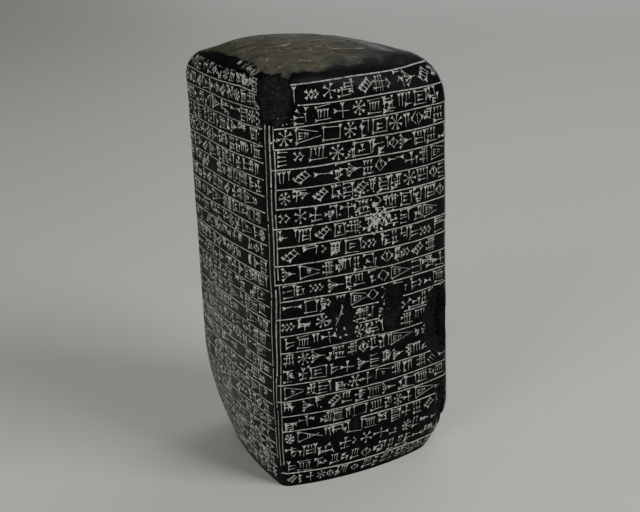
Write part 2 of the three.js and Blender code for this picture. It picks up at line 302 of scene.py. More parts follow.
class Cuts:
    """Shallow cuts in a flat domain: closed outlines, each with its valley points and depth."""

    def __init__(self):
        self.items = []

    def add(self, outline, valley, depth):
        outline = np.array(outline, float)
        x, y = outline.T
        if (x * np.roll(y, -1) - np.roll(x, -1) * y).sum() < 0:
            outline = outline[::-1]
        self.items.append((outline, np.array(valley, float), depth))

    def depth(self, points):
        """Depth of the cuts at each point, nought beside them."""
        sunk = np.zeros(len(points))
        order = np.argsort(points[:, 1])
        ys = points[order, 1]
        for outline, valley, depth in self.items:
            low, high = outline.min(0), outline.max(0)
            first, last = np.searchsorted(ys, low[1] - 1e-6), np.searchsorted(ys, high[1] + 1e-6)
            near = order[first:last]
            near = near[(points[near, 0] >= low[0]) & (points[near, 0] <= high[0])]
            if not len(near):
                continue
            p = points[near]
            inside, away = inside_outline(p, outline)
            if not inside.any():
                continue
            _, widest = inside_outline(valley, outline)
            reach = max(widest.max(), 1e-3)
            share = np.minimum(1, away[inside] / reach)
            sunk[near[inside]] = np.maximum(sunk[near[inside]], depth * share)
        return sunk


def inside_outline(points, outline):
    """Whether each point lies in a closed outline, and how far it is from its line."""
    a = outline[None]
    b = np.roll(outline, -1, 0)[None]
    p = points[:, None]
    cross = (a[..., 1] > p[..., 1]) != (b[..., 1] > p[..., 1])
    rise = np.where(b[..., 1] == a[..., 1], 1e-12, b[..., 1] - a[..., 1])
    at = a[..., 0] + (p[..., 1] - a[..., 1]) * (b[..., 0] - a[..., 0]) / rise
    inside = (cross & (p[..., 0] < at)).sum(1) % 2 == 1
    way = b - a
    share = np.clip(((p - a) * way).sum(-1) / np.maximum((way * way).sum(-1), 1e-12), 0, 1)
    away = np.linalg.norm(p - a - way * share[..., None], axis=-1).min(1)
    return inside & (away > 1e-7), away


def placed(points, x, y, angle, size=1.0):
    """Points turned anticlockwise, made larger and moved to (x, y)."""
    c, s = cos(angle) * size, sin(angle) * size
    return [(x + p * c - q * s, y + p * s + q * c) for p, q in points]


# Strokes. Each is a wedge: a fanned head, a neck and a thin tail.
def wedge(x, y, angle, length, head, bold=1.0, depth=0.36):
    """Outline, valley and depth of one wedge-like stroke with its head at (x, y)."""
    tail = min(0.18, head * 0.12) * bold
    head *= bold
    neck = min(head * 0.85, length * 0.55)
    shape = [(0, head / 2), (head * 0.14, 0), (0, -head / 2), (neck, -tail), (length, -tail * 0.6)]
    shape += [(length, tail * 0.6), (neck, tail)]
    spine = [(head * 0.36, 0), (length - tail, 0)]
    return placed(shape, x, y, angle), placed(spine, x, y, angle), depth


DOWN = -pi / 2
HEADS = (0.19, 0.23, 0.27, 0.31)
# Made-up groups of strokes: kind, and how often it is drawn. None of them spells anything.
SIGN_KINDS = {
    "mixed": 15, "posts": 1.5, "rake": 2, "crossed": 1.5, "tiers": 1.5, "box": 1.5, "comb": 1.5,
    "lozenge": 1.5, "spear": 2, "tall": 1.5, "fan": 2, "gate": 1.5, "broom": 1.5, "hatch": 1.5,
    "ladder": 1.5, "hooks": 2, "facing": 2, "leaning": 1.5,
}


def mixed_strokes(rng):
    """A group put together at random from level, upright and slanting strokes."""
    wide = rng.uniform(0.4, 1.3)
    strokes = []
    for y in rng.sample([0.08, 0.25, 0.42, 0.59, 0.76, 0.92], rng.choice([1, 2, 2, 3, 4])):
        start = wide * rng.choice([0, 0, 0.35])
        strokes.append((start, y, 0, (wide - start) * rng.uniform(0.6, 1.0), rng.choice(HEADS)))
    places = [i * 0.22 for i in range(int(wide / 0.22) + 1)]
    for x in rng.sample(places, min(len(places), rng.choice([1, 1, 2, 2, 3]))):
        top = rng.choice([0.97, 0.97, 0.62])
        strokes.append((x + 0.08, top, DOWN, top * rng.uniform(0.55, 0.96), rng.choice(HEADS)))
    for _ in range(rng.choice([0, 1, 1, 2])):
        x, y = wide * rng.uniform(0, 0.75), rng.uniform(0.15, 0.85)
        slant = rng.choice([-0.8, 0.8, -0.45, 0.45, -2.3])
        strokes.append((x, y, slant, rng.uniform(0.25, 0.5), rng.choice(HEADS)))
    return strokes, wide


def sign_strokes(rng, kind):
    """One group of strokes as (x, y, angle, length, head) in a cell of height 1, and its width."""
    wide = rng.uniform(0.8, 1.2)
    big, small = rng.uniform(0.25, 0.32), rng.uniform(0.17, 0.22)
    if kind == "mixed":
        return mixed_strokes(rng)
    if kind == "posts":
        count = rng.choice([1, 2, 3])
        strokes = [(0.12 + i * 0.27, 0.95, DOWN, rng.uniform(0.6, 0.9), big) for i in range(count)]
        return strokes, 0.27 * count
    if kind == "rake":
        levels = rng.choice([(0.1, 0.5, 0.9), (0.08, 0.35, 0.62, 0.9), (0.05, 0.27, 0.49, 0.71, 0.93)])
        strokes = [(0, y, 0, rng.uniform(0.6, 0.75) * wide, small) for y in levels]
        if rng.random() < 0.6:
            strokes.append((0.78 * wide, 0.97, DOWN, 0.92, big))
        return strokes, 0.86 * wide
    if kind == "crossed":
        strokes = [(0, 0.5, 0, 0.95 * wide, big), (0.5 * wide, 0.97, DOWN, 0.94, big)]
        if rng.random() < 0.5:
            strokes.append((0.1, 0.1, 0, 0.8 * wide, small))
        return strokes, wide
    if kind == "tiers":
        count = rng.choice([2, 3])
        strokes = [(0.1 + i * 0.26, y, DOWN, 0.32, small) for i in range(count) for y in (0.94, 0.52)]
        strokes.append((0, 0.1, 0, 0.26 * count + 0.12, big))
        return strokes, 0.26 * count + 0.15
    if kind == "box":
        strokes = [(0, 0.88, 0, wide, small), (0, 0.12, 0, wide, small)]
        strokes += [(0.1, 0.95, DOWN, 0.85, small), (wide, 0.95, DOWN, 0.85, big)]
        inner = rng.choice([0, 1, 2])
        strokes += [(0.3 * wide, y, 0, 0.42 * wide, small) for y in (0.36, 0.62)[:inner]]
        if inner == 1:
            strokes.append((0.55 * wide, 0.78, DOWN, 0.5, small))
        return strokes, wide + 0.1
    if kind == "comb":
        count = rng.choice([2, 3, 4])
        strokes = [(0.16 + i * 0.23, 0.95, DOWN, rng.uniform(0.45, 0.65), small) for i in range(count)]
        strokes.append((0, 0.22, 0, 0.25 * count + 0.15, big))
        return strokes, 0.25 * count + 0.15
    if kind == "lozenge":
        strokes = [(0, 0.5, 0.78, 0.55, small), (0, 0.5, -0.78, 0.55, small)]
        strokes += [(0.8, 0.5, pi - 0.78, 0.55, small), (0.8, 0.5, pi + 0.78, 0.55, small)]
        if rng.random() < 0.6:
            strokes.append((0.4, 0.75, DOWN, 0.5, small))
        return strokes, 0.85
    if kind == "spear":
        wide *= 1.6
        strokes = [(0.1, 0.95, -0.27, wide, small), (0.1, 0.08, 0.24, wide * 0.97, small)]
        strokes.append((0.12, 0.93, DOWN, 0.84, small))
        if rng.random() < 0.5:
            strokes += [(0.3, y, 0, 0.3, small * 0.85) for y in (0.36, 0.52, 0.67)]
        strokes += [(0.72, 0.68, DOWN, 0.36, small * 0.85), (0.88, 0.63, DOWN, 0.28, small * 0.85)]
        return strokes, wide + 0.05
    if kind == "tall":
        strokes = [(0.2, 0.97, DOWN, 0.94, big), (0.22, rng.uniform(0.5, 0.7), 0.05, 0.6 * wide, small)]
        strokes.append((0.22, 0.25, rng.choice([0.35, 0.0]), 0.6 * wide, small))
        return strokes, 0.85 * wide
    if kind == "fan":
        count, first = rng.choice([5, 6, 7]), rng.uniform(0, 1)
        turns = [first + i * 2 * pi / count for i in range(count)]
        size = rng.uniform(0.4, 0.5)
        strokes = [(0.48 - size * cos(t), 0.5 - size * sin(t), t, size, small) for t in turns]
        return strokes, 0.96
    if kind == "gate":
        strokes = [(0.1, 0.95, DOWN, 0.9, big), (0.98 * wide, 0.95, DOWN, 0.9, big)]
        strokes += [(0.22, y, 0, 0.64 * wide, small) for y in (0.2, 0.45)]
        strokes += [(x * wide, 0.92, DOWN, 0.34, small) for x in (0.4, 0.66)]
        return strokes, wide + 0.1
    if kind == "broom":
        slants = ((0.92, -0.7), (0.64, -0.35), (0.36, 0.35), (0.08, 0.7))
        strokes = [(0, y, slant, 0.5, small) for y, slant in slants]
        return strokes + [(0.42, 0.5, 0, 0.6 * wide, big)], 0.42 + 0.6 * wide
    if kind == "hatch":
        strokes = [(0, y, 0, 0.95 * wide, small) for y in (0.3, 0.7)]
        strokes += [(x * wide, 0.97, DOWN, 0.92, small) for x in (0.3, 0.52, 0.74)]
        return strokes, wide
    if kind == "hooks":
        count, y = rng.choice([1, 2, 3]), rng.uniform(0.4, 0.65)
        strokes = [(0.32 * i, y + 0.24, -0.85, 0.42, small) for i in range(count)]
        strokes += [(0.32 * i, y - 0.24, 0.85, 0.42, small) for i in range(count)]
        return strokes, 0.32 * count + 0.14
    if kind == "facing":
        y = rng.uniform(0.35, 0.7)
        strokes = [(0, y, 0, 0.6 * wide, big), (1.2 * wide, y, pi, 0.6 * wide, big)]
        if rng.random() < 0.6:
            strokes.append((0.6 * wide, 0.96, DOWN, 0.9, small))
        return strokes, 1.25 * wide
    if kind == "leaning":
        strokes = [(0.22 * i, 0.5 + 0.13 * i, -0.75, 0.55, small) for i in range(4)]
        return strokes + [(0.05, 0.3, 0.7, 0.85, small), (0.38, 0.12, 0.7, 0.8, big)], 1.1
    strokes = [(0, 0.85, 0.03, 1.1 * wide, small), (0, 0.12, -0.02, 1.1 * wide, small)]
    strokes += [(x * wide, 0.74, DOWN, 0.52, small * 0.9) for x in (0.2, 0.42, 0.64, 0.86)]
    return strokes, 1.12 * wide


def write_row(cuts, rng, u0, u1, low, high, clear, fullness, bold):
    """Fills the band between two ruled lines with groups of strokes that hang from the upper one."""
    tall = (high - low) * rng.uniform(0.78, 0.85)
    foot = high - 0.5 - tall
    if tall < 2.5:
        return
    u = u0 + rng.uniform(0.3, 1.2)
    last = None
    while u < u1 - 2:
        kind = rng.choices(list(SIGN_KINDS), list(SIGN_KINDS.values()))[0]
        if kind == last:
            continue
        last = kind
        strokes, width = sign_strokes(rng, kind)
        squeeze = rng.uniform(0.82, 1.12)
        room = (u1 - u) / (tall * width)
        if room < 0.6:
            break
        squeeze = min(squeeze, room)
        drop = rng.uniform(-0.25, 0.2)
        if rng.random() < fullness:
            for sx, sy, angle, length, head in strokes:
                x = u + sx * tall * squeeze + rng.uniform(-0.1, 0.1)
                y = foot + sy * tall + drop + rng.uniform(-0.12, 0.12)
                angle += rng.uniform(-0.11, 0.11)
                reach = length * tall * (squeeze if abs(angle) < 0.5 else 1) * rng.uniform(0.88, 1.05)
                end = (x + reach * cos(angle), y + reach * sin(angle))
                middle = ((x + end[0]) / 2, (y + end[1]) / 2)
                inside = u0 - 0.4 < min(x, end[0]) and max(x, end[0]) < u1 + 0.5
                if inside and clear(x, y) and clear(*middle) and clear(*end):
                    cuts.add(*wedge(x, y, angle, reach, head * tall * rng.uniform(0.85, 1.15), bold))
        gap = rng.uniform(0.35, 1.0) * (1 if rng.random() < 0.88 else 2.6)
        u += width * tall * squeeze + gap


def ribbon(cuts, points, width, depth):
    """A long narrow cut along a line of points."""
    points = np.array(points, float)
    way = np.gradient(points, axis=0)
    way /= np.linalg.norm(way, axis=1)[:, None]
    left = np.stack([-way[:, 1], way[:, 0]], 1) * width / 2
    cuts.add(np.concatenate([points + left, (points - left)[::-1]]), points[1:-1], depth)


def ruled_line(cuts, rng, u0, u1, z, clear):
    """A hand-cut line across a side, left out where the stone is broken."""
    steps = max(2, int((u1 - u0) / 2.9))
    phase = rng.uniform(0, 6)
    width = RULE_WIDTH * rng.uniform(0.75, 1.05)
    run = []
    for i in range(steps + 1):
        u = u0 + (u1 - u0) * i / steps
        y = z + 0.22 * sin(phase + u * 0.11) + rng.uniform(-0.06, 0.06)
        if clear(u, y):
            run.append((u, y))
        if (not clear(u, y) or i == steps) and len(run) > 2:
            ribbon(cuts, run, width, RULE_DEPTH)
        if not clear(u, y):
            run = []


def upright_line(cuts, rng, u, z0, z1, clear):
    """A margin line up the stone, cut in a few lengths that don't quite meet."""
    z = z0
    while z < z1 - 6:
        end = min(z1, z + rng.uniform(16, 58))
        shift = rng.uniform(-0.28, 0.28)
        steps = max(3, int((end - z) / 3.2))
        run = []
        for step in range(steps + 1):
            y = z + (end - z) * step / steps
            if clear(u, y):
                run.append((u + shift + 0.12 * sin(y * 0.2), y))
        if len(run) > 2:
            ribbon(cuts, run, RULE_WIDTH * rng.uniform(0.6, 1.0), RULE_DEPTH)
        z = end + rng.uniform(0.4, 2.4)


def chip(cuts, rng, u, z, size):
    """A small ragged chip with pale dust in it."""
    count = rng.choice([5, 6, 7])
    first = rng.uniform(0, 6)
    long, slant = rng.uniform(0.5, 1.0), rng.uniform(0, 3)
    outline = []
    for i in range(count):
        t = first + i * 2 * pi / count
        r = size * rng.uniform(0.6, 1.1)
        outline.append((r * cos(t), r * sin(t) * long))
    cuts.add(placed(outline, u, z, slant), [(u, z)], min(0.35, size * 0.4))


def damage_map(breaks):
    """Depth of some of the breaks on a grid of the wall, to keep strokes out of them."""
    s = np.arange(0, ROUND, 1.0)
    v = np.arange(0, RIM, 1.0)
    grid_s, grid_v = np.meshgrid(s, v, indexing="ij")
    points, normals = wall(grid_s.ravel(), grid_v.ravel())
    return break_depth(points, normals, breaks).reshape(grid_s.shape)


DARK_BREAKS = [b for i, b in enumerate(BREAK_FRAMES) if i not in (ABRASION, RIM_CHIP)]
STROKE_DAMAGE = damage_map(DARK_BREAKS)
ALL_DAMAGE = damage_map(BREAK_FRAMES)

# The side's panels part in the middle of the rounded edges, but at the front left edge they part
# beside the outer margin line. The margin there leans to the left lower down.
MARGIN_LINES = (1.0, -0.9, -3.2)
SEAM = -4.2
LEAN_LEVELS = [0.0, 16.0, 50.0, 103.0, 157.0, 191.0]
LEAN_SHIFTS = [-4.5, -4.1, -3.3, -1.3, -0.8, 0.0]


def panel_range(side):
    """Lengths round the stone at which a side's panel starts and ends."""
    start = SEAM if side == FRONT else RUN_STARTS[2 * side - 1] + RUNS[2 * side - 1] / 2
    end = ROUND + SEAM if side == LEFT else RUN_STARTS[2 * side + 1] + RUNS[2 * side + 1] / 2
    return start, end


def leaned(side, u, v):
    """Length round the stone of a panel's u, which leans with the front left margin."""
    start, end = panel_range(side)
    shift = np.interp(v, LEAN_LEVELS, LEAN_SHIFTS)
    if side == FRONT:
        return u + shift * (end - u) / (end - start)
    if side == LEFT:
        return u + shift * (u - start) / (end - start)
    return u


def clear_of(damage, side, limit, rng=None):
    """A test of whether a place is outside the damage, with a ragged edge if it's given a rng."""
    def clear(u, v):
        i = int(round(float(leaned(side, u, v)))) % damage.shape[0]
        j = min(max(int(round(v)), 0), damage.shape[1] - 1)
        return damage[i, j] < limit * (rng.uniform(0.3, 2.0) if rng else 1.0)
    return clear


# Where the wide and the narrow side are rubbed and chipped: side, u, z, spread across and up, count
# and size of the chips
CHIPPED = [
    (FRONT, 49.0, 144.0, 17.0, 15.0, 130, 0.65),
    (FRONT, 54.0, 134.0, 9.0, 8.0, 26, 1.1),
    (FRONT, 47.0, 82.0, 14.0, 12.0, 50, 0.8),
    (FRONT, 30.0, 40.0, 14.0, 12.0, 16, 0.5),
    (FRONT, 8.0, 190.0, 8.0, 5.0, 8, 0.3),
    (FRONT, 1.5, 181.0, 3.0, 1.5, 5, 0.6),
    (FRONT, 14.0, 66.0, 6.0, 4.0, 10, 0.6),
    (LEFT, 374.5, 195.0, 3.0, 14.0, 34, 0.6),
    (LEFT, 362.0, 207.5, 9.0, 1.6, 34, 0.9),
    (LEFT, 300.0, 120.0, 10.0, 60.0, 24, 0.45),
]

# How each side's rows are filled: share of the groups that are cut, room left at the right, boldness
ROW_STYLES = [(1.0, 0.3, 1.0), (0.82, 0.3, 1.0), (0.82, 0.3, 1.0), (0.97, 1.4, 1.25)]

# Least distance of a cut and of a chip's middle from a panel's ends
SEAM_ROOM = 0.15
CHIP_ROOM = 1.8

# A scratch across the left pit
PIT_SCRATCH = [(34.0, 94.0), (34.3, 91.2), (33.7, 88.4), (32.2, 85.6), (30.4, 83.4)]


def side_cuts(side):
    """Every cut on one side, in the panel's u and the wall's v."""
    rng = random.Random(SIGN_SEED + side)
    flat = Cuts()
    start, end = RUN_STARTS[2 * side], RUN_STARTS[2 * side + 1]
    rules = rule_heights(WIDE_RULES if side % 2 == 0 else NARROW_RULES)
    left, right = start + MARGIN_INSET, end + RUNS[2 * side + 1] * 0.35
    if side == FRONT:
        left = MARGIN_LINES[0]
    if side == LEFT:
        left, right = start - 2.6, panel_range(LEFT)[1] - 0.35
    clear = clear_of(STROKE_DAMAGE, side, 0.9, rng)
    nearly_clear = clear_of(STROKE_DAMAGE, side, 1.3)
    for z in rules:
        reach = rng.choice([0, 0, 1.7]) if side == FRONT else 0
        ruled_line(flat, rng, left - reach, right, z, clear)
    fullness, inset, bold = ROW_STYLES[side]
    bands = list(zip(rules[1:], rules[:-1])) + [(0.8, rules[-1])]
    if side == LEFT:
        bands.append((rules[0], RIM - 0.6))
    for low, high in bands:
        write_row(flat, rng, left + 0.5, right - inset, low, high, clear, fullness, bold)
    if side == FRONT:
        for u, low in zip(MARGIN_LINES, (13, 12, 16)):
            upright_line(flat, rng, u, low, rules[0] - 11, nearly_clear)
        upright_line(flat, rng, right, 30, rules[0] - 8, clear)
        ribbon(flat, PIT_SCRATCH, RULE_WIDTH, RULE_DEPTH)
    elif side != LEFT:
        for u in (left, right):
            upright_line(flat, rng, u, 8, rules[0] - 2, clear)
    low, high = panel_range(side)
    for place, u, z, across, up, count, size in CHIPPED:
        if place != side:
            continue
        for _ in range(count):
            x, y = rng.gauss(u, across / 2), min(rng.gauss(z, up / 2), RIM - 2)
            if low + CHIP_ROOM < x < high - CHIP_ROOM and y > 2:
                chip(flat, rng, x, y, size * rng.uniform(0.5, 1.3))
    cuts = Cuts()
    for outline, valley, depth in flat.items:
        if outline[:, 0].min() <= low + SEAM_ROOM or outline[:, 0].max() >= high - SEAM_ROOM:
            continue
        for points in (outline, valley):
            points[:, 1] = level(leaned(side, points[:, 0], points[:, 1]), points[:, 1])
        cuts.add(outline, valley, depth)
    return cuts


def triangulate(fixed, cuts, extra):
    """Delaunay triangles of a domain with the cuts' outlines and valleys as constraints. fixed is the
    domain's own outline, and extra holds loose points inside it."""
    points = [tuple(p) for p in fixed]
    edges = [(i, (i + 1) % len(fixed)) for i in range(len(fixed))]
    faces = []
    for outline, valley, _ in cuts.items:
        base = len(points)
        points += [tuple(p) for p in outline]
        faces.append(list(range(base, base + len(outline))))
        base = len(points)
        points += [tuple(p) for p in valley]
        edges += [(base + i, base + i + 1) for i in range(len(valley) - 1)]
    points += [tuple(p) for p in extra]
    made = delaunay_2d_cdt([Vector(p) for p in points], edges, faces, 0, 1e-3, True)
    xy = np.array([tuple(p) for p in made[0]])
    triangles = np.array([f for f in made[2]])
    filled = np.array([len(ids) > 0 for ids in made[5]])
    return xy, triangles, filled


def jittered_grid(low, high, spacing, rng):
    """Loose points in a rectangle, a little off a regular grid."""
    counts = [max(1, int(round((high[k] - low[k]) / spacing))) for k in range(2)]
    points = []
    for i in range(1, counts[0]):
        for j in range(1, counts[1]):
            x = low[0] + (high[0] - low[0]) * (i + rng.uniform(-0.25, 0.25)) / counts[0]
            y = low[1] + (high[1] - low[1]) * (j + rng.uniform(-0.25, 0.25)) / counts[1]
            points.append((x, y))
    return points


def add_object(name, data):
    made = bpy.data.objects.new(name, data)
    bpy.context.scene.collection.objects.link(made)
    return made


class Skin:
    """Gathers the panels' vertices, triangles, materials, UVs and wear into one mesh."""

    def __init__(self):
        self.panels = []
        self.count = 0

    def add(self, points, triangles, filled, uv, worn):
        self.panels.append((points, triangles + self.count, filled, uv[triangles], worn))
        self.count += len(points)

    def joined(self):
        return [np.concatenate(parts) for parts in zip(*self.panels)]


# The panels lie side by side in the UV map, with the top and the underside above them.
UV_SCALE = 1 / 440.0
UV_GAP = 4.0


def wall_surface(points, normals, sunk):
    """The weathered wall: slow unevenness, fine grain, breaks and cuts."""
    swell = 0.22 * fine_noise(points, 34.0, 2, 1)
    grain = 0.05 * fine_noise(points, 3.0, 3, 2)
    broken = break_depth(points, normals)
    lumps, crumbs = fine_noise(points, 2.6, 2, 5), fine_noise(points, 1.2, 3, 6)
    rough = np.minimum(broken, 1.0) * (0.4 * lumps + 0.35 * crumbs)
    move = swell + grain - broken + rough - sunk
    return points + normals * move[:, None]


def add_side(skin, side):
    """Adds one side's panel. Gives back the lengths round the stone of its foot and rim points."""
    rng = random.Random(GRID_SEED + side)
    u0, u1 = panel_range(side)
    levels = np.linspace(0, RIM, int(RIM / SEAM_STEP) + 1)
    across = np.linspace(u0, u1, int(round((u1 - u0) / SEAM_STEP)) + 1)
    fixed = [(u, 0.0) for u in across] + [(u1, v) for v in levels[1:]]
    fixed += [(u, RIM) for u in across[::-1][1:]] + [(u0, v) for v in levels[::-1][1:-1]]
    cuts = side_cuts(side)
    extra = jittered_grid((u0, 0), (u1, RIM), GRID, rng)
    fine = jittered_grid((u0, 0), (u1, RIM), BREAK_GRID, rng)
    unhurt = clear_of(ALL_DAMAGE, side, 0.05)
    extra += [p for p in fine if not unhurt(*p)]
    xy, triangles, filled = triangulate(fixed, cuts, extra)
    sunk = cuts.depth(xy)
    points, normals = wall(leaned(side, xy[:, 0], xy[:, 1]), xy[:, 1])
    moved = wall_surface(points, normals, sunk)
    broken = break_depth(points, normals, DARK_BREAKS)
    moved[:, 2] = np.where(xy[:, 1] < 1e-6, 0.0, np.maximum(moved[:, 2], 0.0))
    uv = np.column_stack([xy[:, 0] + UV_GAP * (side + 2), xy[:, 1] + UV_GAP]) * UV_SCALE
    skin.add(moved, triangles, filled, uv, broken)
    foot, rim = (leaned(side, across, np.full(len(across), v)) for v in (0.0, RIM))
    return foot[:-1], rim[:-1]


def dome(points, rim_points):
    """Heights of the domed top over plan points."""
    angle = np.arctan2(points[:, 1], points[:, 0])
    rim_angle = np.arctan2(rim_points[:, 1], rim_points[:, 0])
    order = np.argsort(rim_angle)
    turns = np.concatenate([rim_angle[order] + k * 2 * np.pi for k in (-1, 0, 1)])
    away = np.linalg.norm(rim_points, axis=1)[order]
    edge = np.interp(angle, turns, np.tile(away, 3))
    share = np.clip(np.linalg.norm(points, axis=1) / edge, 0, 1)
    across = np.abs(edge * np.cos(angle)) / WIDTH
    back = np.abs(edge * np.sin(angle)) / DEPTH
    ratio = np.minimum(across, back) / np.maximum(across, back)
    fullness = (1 - share**CROWN_FLATNESS) * (1 - (ratio * share) ** CROWN_FLATNESS)
    return RIM + leaning_rise(points[:, 0]) * fullness


# Signs on the top, as in the solid: places are shares of the half width and half depth
SIGN_DEPTH = 0.6
SIGN_LINE = 1.4
RING = (-0.52, 0.32, 8.0)
CRESCENT = (-0.5, -0.2, 8.0, 4.0)
FRAME_SIGN = (0.06, -0.4, 20.0, 24.0)
BARS = (-0.02, 0.3, 24.0, 6.0, 3)


def arc(cx, cy, radius, start, stop, steps):
    """Points along a part of a circle."""
    angles = np.linspace(start, stop, steps)
    return np.stack([cx + radius * np.cos(angles), cy + radius * np.sin(angles)], 1)


def between(a, b, shares):
    """Points at some shares of the way from a to b."""
    return [(a[0] + (b[0] - a[0]) * t, a[1] + (b[1] - a[1]) * t) for t in shares]


def sign_place(sign):
    return sign[0] * WIDTH / 2, sign[1] * DEPTH / 2


def top_cuts():
    """The signs on the top that the solid has too."""
    cuts = Cuts()
    x, y = sign_place(RING)
    ring = arc(x, y, RING[2] - SIGN_LINE / 2, 0.06, 2 * pi - 0.06, 33)
    ribbon(cuts, ring, SIGN_LINE, SIGN_DEPTH)
    x, y = sign_place(CRESCENT)
    radius, bite = CRESCENT[2:]
    inner = hypot(radius, bite)
    half = atan2(radius, bite)
    low = arc(x, y, radius, pi, 2 * pi, 17)
    high = arc(x, y + bite, inner, DOWN + half, DOWN - half, 15)[1:-1]
    middle = arc(x, y + bite / 2, (radius + inner) / 2 - 1.0, DOWN - 0.8, DOWN + 0.8, 7)
    cuts.add(np.concatenate([low, high]), middle, SIGN_DEPTH)
    x, y = sign_place(FRAME_SIGN)
    w, h = (FRAME_SIGN[2] - SIGN_LINE) / 2, (FRAME_SIGN[3] - SIGN_LINE) / 2
    corners = [(x - w, y - h), (x + w, y - h), (x + w, y + h), (x - w, y + h)]
    for a, b in zip(corners, corners[1:] + corners[:1]):
        ribbon(cuts, between(a, b, np.linspace(0.01, 0.99, 9)), SIGN_LINE, SIGN_DEPTH)
    x, y = sign_place(BARS)
    for i in range(BARS[4]):
        line = [(x + BARS[2] * (t - 0.5), y + i * BARS[3]) for t in np.linspace(0, 1, 9)]
        ribbon(cuts, line, SIGN_LINE, SIGN_DEPTH)
    return cuts


# Small worn marks over the top, all made up: kind, place, size and turn. More of them, smaller still,
# are scattered at random.
MARK_WIDTH = 0.6
MARK_DEPTH = 0.28
SMALL_MARKS = 46
TOP_MARKS = [
    ("fork", -36, -22, 9, 0.1), ("post", -30, -26, 10, 0.0), ("hook", -24, -25, 9, 0.2),
    ("ladder", -16, -26, 10, -0.1), ("arch", -8, -27, 8, 0.0), ("post", -2, -30, 8, 0.15),
    ("fork", -41, -6, 8, -0.2), ("wave", -34, 4, 12, 0.05), ("leaf", -12, -4, 8, 0.5),
    ("zigzag", -14, 4, 14, 0.0), ("arch", 6, 2, 7, 0.3), ("ladder", 24, 8, 11, 0.2),
    ("wave", 22, -4, 13, -0.1), ("leaf", 34, -14, 8, -0.4), ("fork", 32, 12, 8, 0.6),
    ("zigzag", -12, 22, 13, 0.1), ("arch", -36, 30, 8, 0.0), ("hook", -22, 32, 9, -0.3),
    ("wave", -6, 36, 14, 0.0), ("post", 12, 34, 8, 1.2), ("leaf", 22, 28, 8, 0.2),
    ("post", 20, -40, 9, 1.4), ("wave", -22, -40, 12, 0.1), ("post", 36, 0, 9, 0.4),
]

# Lines of each kind of mark, in a cell that reaches from -0.5 to 0.5
BEND = [(0.4 * cos(t), 0.4 * sin(t)) for t in np.linspace(3.1, 0.04, 7)]
LEAF = [(0.5 * cos(t), 0.24 * sin(t)) for t in np.linspace(0.25, pi - 0.25, 7)]
RAILS = [[(x, -0.5), (x, 0.5)] for x in (-0.22, 0.22)]
RUNGS = [[(-0.14, y), (0.14, y)] for y in (-0.3, 0.0, 0.3)]
MARK_LINES = {
    "post": [[(0, -0.5), (0, 0.5)]],
    "fork": [[(0, -0.5), (0, 0.05)], [(-0.35, 0.5), (-0.02, 0.1)], [(0.35, 0.5), (0.02, 0.1)]],
    "hook": [[(-0.1, 0.5), (-0.1, -0.3), (0.05, -0.48), (0.25, -0.45), (0.35, -0.25)]],
    "ladder": RAILS + RUNGS,
    "arch": [[(-0.4, -0.5), *BEND, (0.4, -0.5)]],
    "wave": [[(x, 0.09 * sin(x * 12)) for x in np.linspace(-0.5, 0.5, 13)]],
    "zigzag": [[(-0.5 + i / 6, 0.12 * (-1) ** i) for i in range(7)]],
    "leaf": [LEAF, [(x, -y) for x, y in LEAF]],
}


def add_marks(cuts, rim):
    """Adds the marks, but no line that comes near the rim."""
    rng = random.Random(MARK_SEED)
    kinds = [mark[0] for mark in TOP_MARKS]
    marks = list(TOP_MARKS)
    for _ in range(SMALL_MARKS):
        kind, x, y = rng.choice(kinds), rng.uniform(-44, 44), rng.uniform(-42, 42)
        marks.append((kind, x, y, rng.uniform(3, 6), rng.uniform(-1, 1)))
    for kind, x, y, size, angle in marks:
        for line in MARK_LINES[kind]:
            line = placed(line, x, y, angle, size)
            if len(line) < 5:
                pairs = zip(line, line[1:])
                line = [p for a, b in pairs for p in between(a, b, (0, 0.33, 0.66))] + [line[-1]]
            inside, away = inside_outline(np.array(line), rim)
            if inside.all() and away.min() > 1.2:
                ribbon(cuts, line, MARK_WIDTH, MARK_DEPTH)


def add_top(skin, rim_s):
    """Adds the domed top inside the panels' rim points."""
    rng = random.Random(TOP_GRID_SEED)
    rim_s = np.array(rim_s)
    rim, rim_normals = wall(rim_s, np.full(len(rim_s), RIM))
    cuts = top_cuts()
    add_marks(cuts, rim[:, :2])
    low, high = rim[:, :2].min(0), rim[:, :2].max(0)
    extra = jittered_grid(low, high, GRID * 0.8, rng)
    inside, away = inside_outline(np.array(extra), rim[:, :2])
    extra = [p for p, ok, d in zip(extra, inside, away) if ok and d > 1]
    xy, triangles, filled = triangulate(rim[:, :2], cuts, extra)
    centres = xy[triangles].mean(1)
    keep, _ = inside_outline(centres, rim[:, :2])
    triangles, filled = triangles[keep], filled[keep]
    z = dome(xy, rim[:, :2])
    points = np.column_stack([xy, z])
    normals = np.tile((0, 0, 1.0), (len(points), 1))
    from_rim = np.linalg.norm(xy[:, None] - rim[None, :, :2], axis=2)
    on_rim = from_rim.min(1) < 0.01
    normals[on_rim] = rim_normals[from_rim[on_rim].argmin(1)]
    points[on_rim] = rim[from_rim[on_rim].argmin(1)]
    moved = wall_surface(points, normals, cuts.depth(xy))
    uv = (xy - low + (UV_GAP, RIM + 3 * UV_GAP)) * UV_SCALE
    skin.add(moved, triangles, filled, uv, np.zeros(len(points)))


